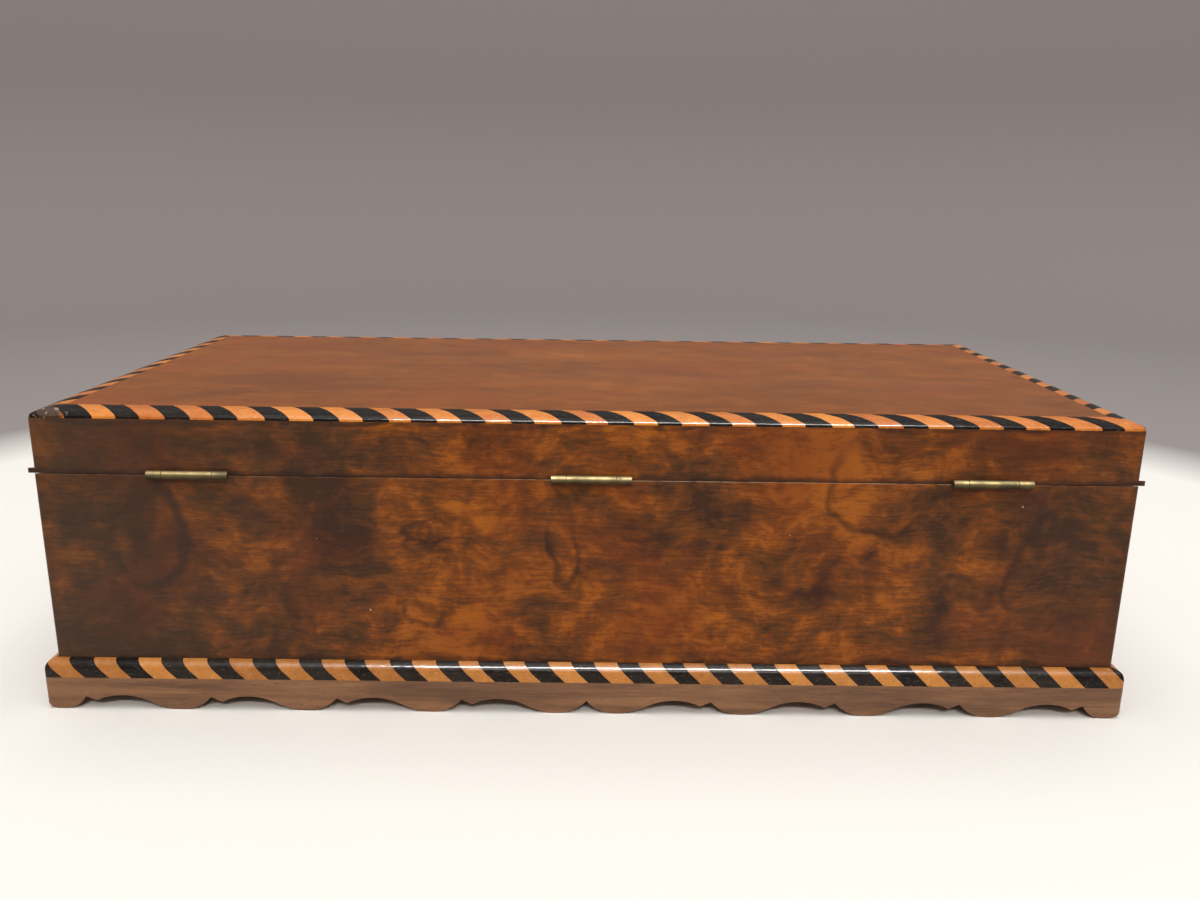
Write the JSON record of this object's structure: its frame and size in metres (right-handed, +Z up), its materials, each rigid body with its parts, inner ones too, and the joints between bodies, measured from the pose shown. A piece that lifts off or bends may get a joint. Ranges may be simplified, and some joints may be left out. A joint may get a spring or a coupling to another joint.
{
  "type": "writing slope",
  "caption": "Walnut writing slope with striped block bandings, scalloped plinth, hinged lid over a sloping leather flap, pen tray and inkwells.",
  "frame": {"origin": "middle of the floor that the plinth stands on, under the centre of the box", "axes": "+Z up, +X along the width towards the user's right, +Y towards the hinged back"},
  "size_m": [0.518, 0.2514, 0.1458],
  "materials": {
    "figured_walnut": "french polished burr walnut veneer",
    "plain_walnut": "waxed straight-grained walnut",
    "stained_boxwood": "polished orange-stained boxwood",
    "ebonised_wood": "polished black-stained hardwood",
    "tarnished_brass": "dull aged brass",
    "brass": "satin brass",
    "tooled_leather": "dark green skiver with a plain tooled line",
    "lining_paper": "plain plum lining paper",
    "ink_glass": "clear cut glass"
  },
  "bodies": {
    "case": {"case_back_wall": "figured_walnut", "case_bottom_board": "plain_walnut", "case_front_wall": "figured_walnut", "case_left_wall": "figured_walnut", "case_right_wall": "figured_walnut", "case_screws": "brass", "divider_board": "plain_walnut", "flap_hinge_fixed_leaves": "brass", "flap_hinge_pins": "brass", "flap_ledge_front": "plain_walnut", "flap_ledge_left": "plain_walnut", "flap_ledge_right": "plain_walnut", "front_rail": "plain_walnut", "hinge_rail": "plain_walnut", "inkwell_cap_pins": "brass", "inkwell_collar_left": "brass", "inkwell_collar_right": "brass", "inkwell_glass_left": "ink_glass", "inkwell_glass_right": "ink_glass", "inkwell_partition_left": "plain_walnut", "inkwell_partition_right": "plain_walnut", "inkwell_shelf_left": "plain_walnut", "inkwell_shelf_right": "plain_walnut", "keyhole_escutcheon": "tarnished_brass", "lid_hinge_centre_case_leaf": "tarnished_brass", "lid_hinge_left_case_leaf": "tarnished_brass", "lid_hinge_pins": "tarnished_brass", "lid_hinge_right_case_leaf": "tarnished_brass", "lock_case": "brass", "pen_tray": "plain_walnut", "plinth_back": "plain_walnut", "plinth_banding_boxwood_blocks": "stained_boxwood", "plinth_banding_ebony_blocks": "ebonised_wood", "plinth_front": "plain_walnut", "plinth_left": "plain_walnut", "plinth_right": "plain_walnut"},
    "lid": {"lid_back_board": "figured_walnut", "lid_banding_boxwood_blocks": "stained_boxwood", "lid_banding_ebony_blocks": "ebonised_wood", "lid_front_board": "figured_walnut", "lid_hinge_centre_lid_leaf": "tarnished_brass", "lid_hinge_left_lid_leaf": "tarnished_brass", "lid_hinge_right_lid_leaf": "tarnished_brass", "lid_left_board": "figured_walnut", "lid_lining": "lining_paper", "lid_lip_back": "figured_walnut", "lid_lip_front": "figured_walnut", "lid_lip_left": "figured_walnut", "lid_lip_right": "figured_walnut", "lid_right_board": "figured_walnut", "lid_screws": "brass", "lid_top_board": "figured_walnut", "lock_link_plate": "brass"},
    "flap": {"writing_flap": "plain_walnut", "flap_leather": "tooled_leather", "flap_hinge_moving_leaves": "brass", "flap_screws": "brass"},
    "left_cap": {"inkwell_cap_left": "brass"},
    "right_cap": {"inkwell_cap_right": "brass"},
    "bolt": {"lock_bolt": "brass"}
  },
  "joints": [
    {"name": "lid_hinge", "type": "hinge", "parent": "case", "child": "lid", "pos_m": [0, 0.12285, 0.11658], "axis": [-1, 0, 0], "range_deg": [0, 100]},
    {"name": "flap_hinge", "type": "hinge", "parent": "case", "child": "flap", "pos_m": [0, 0.04765, 0.09633], "axis": [-1, 0, 0], "range_deg": [0, 28]},
    {"name": "left_cap_hinge", "type": "hinge", "parent": "case", "child": "left_cap", "pos_m": [-0.222, 0.10145, 0.0897], "axis": [-1, 0, 0], "range_deg": [0, 100]},
    {"name": "right_cap_hinge", "type": "hinge", "parent": "case", "child": "right_cap", "pos_m": [0.222, 0.10145, 0.0897], "axis": [-1, 0, 0], "range_deg": [0, 100]},
    {"name": "bolt_slide", "type": "slide", "parent": "case", "child": "bolt", "axis": [1, 0, 0], "range_m": [0, 0.004]}
  ]
}
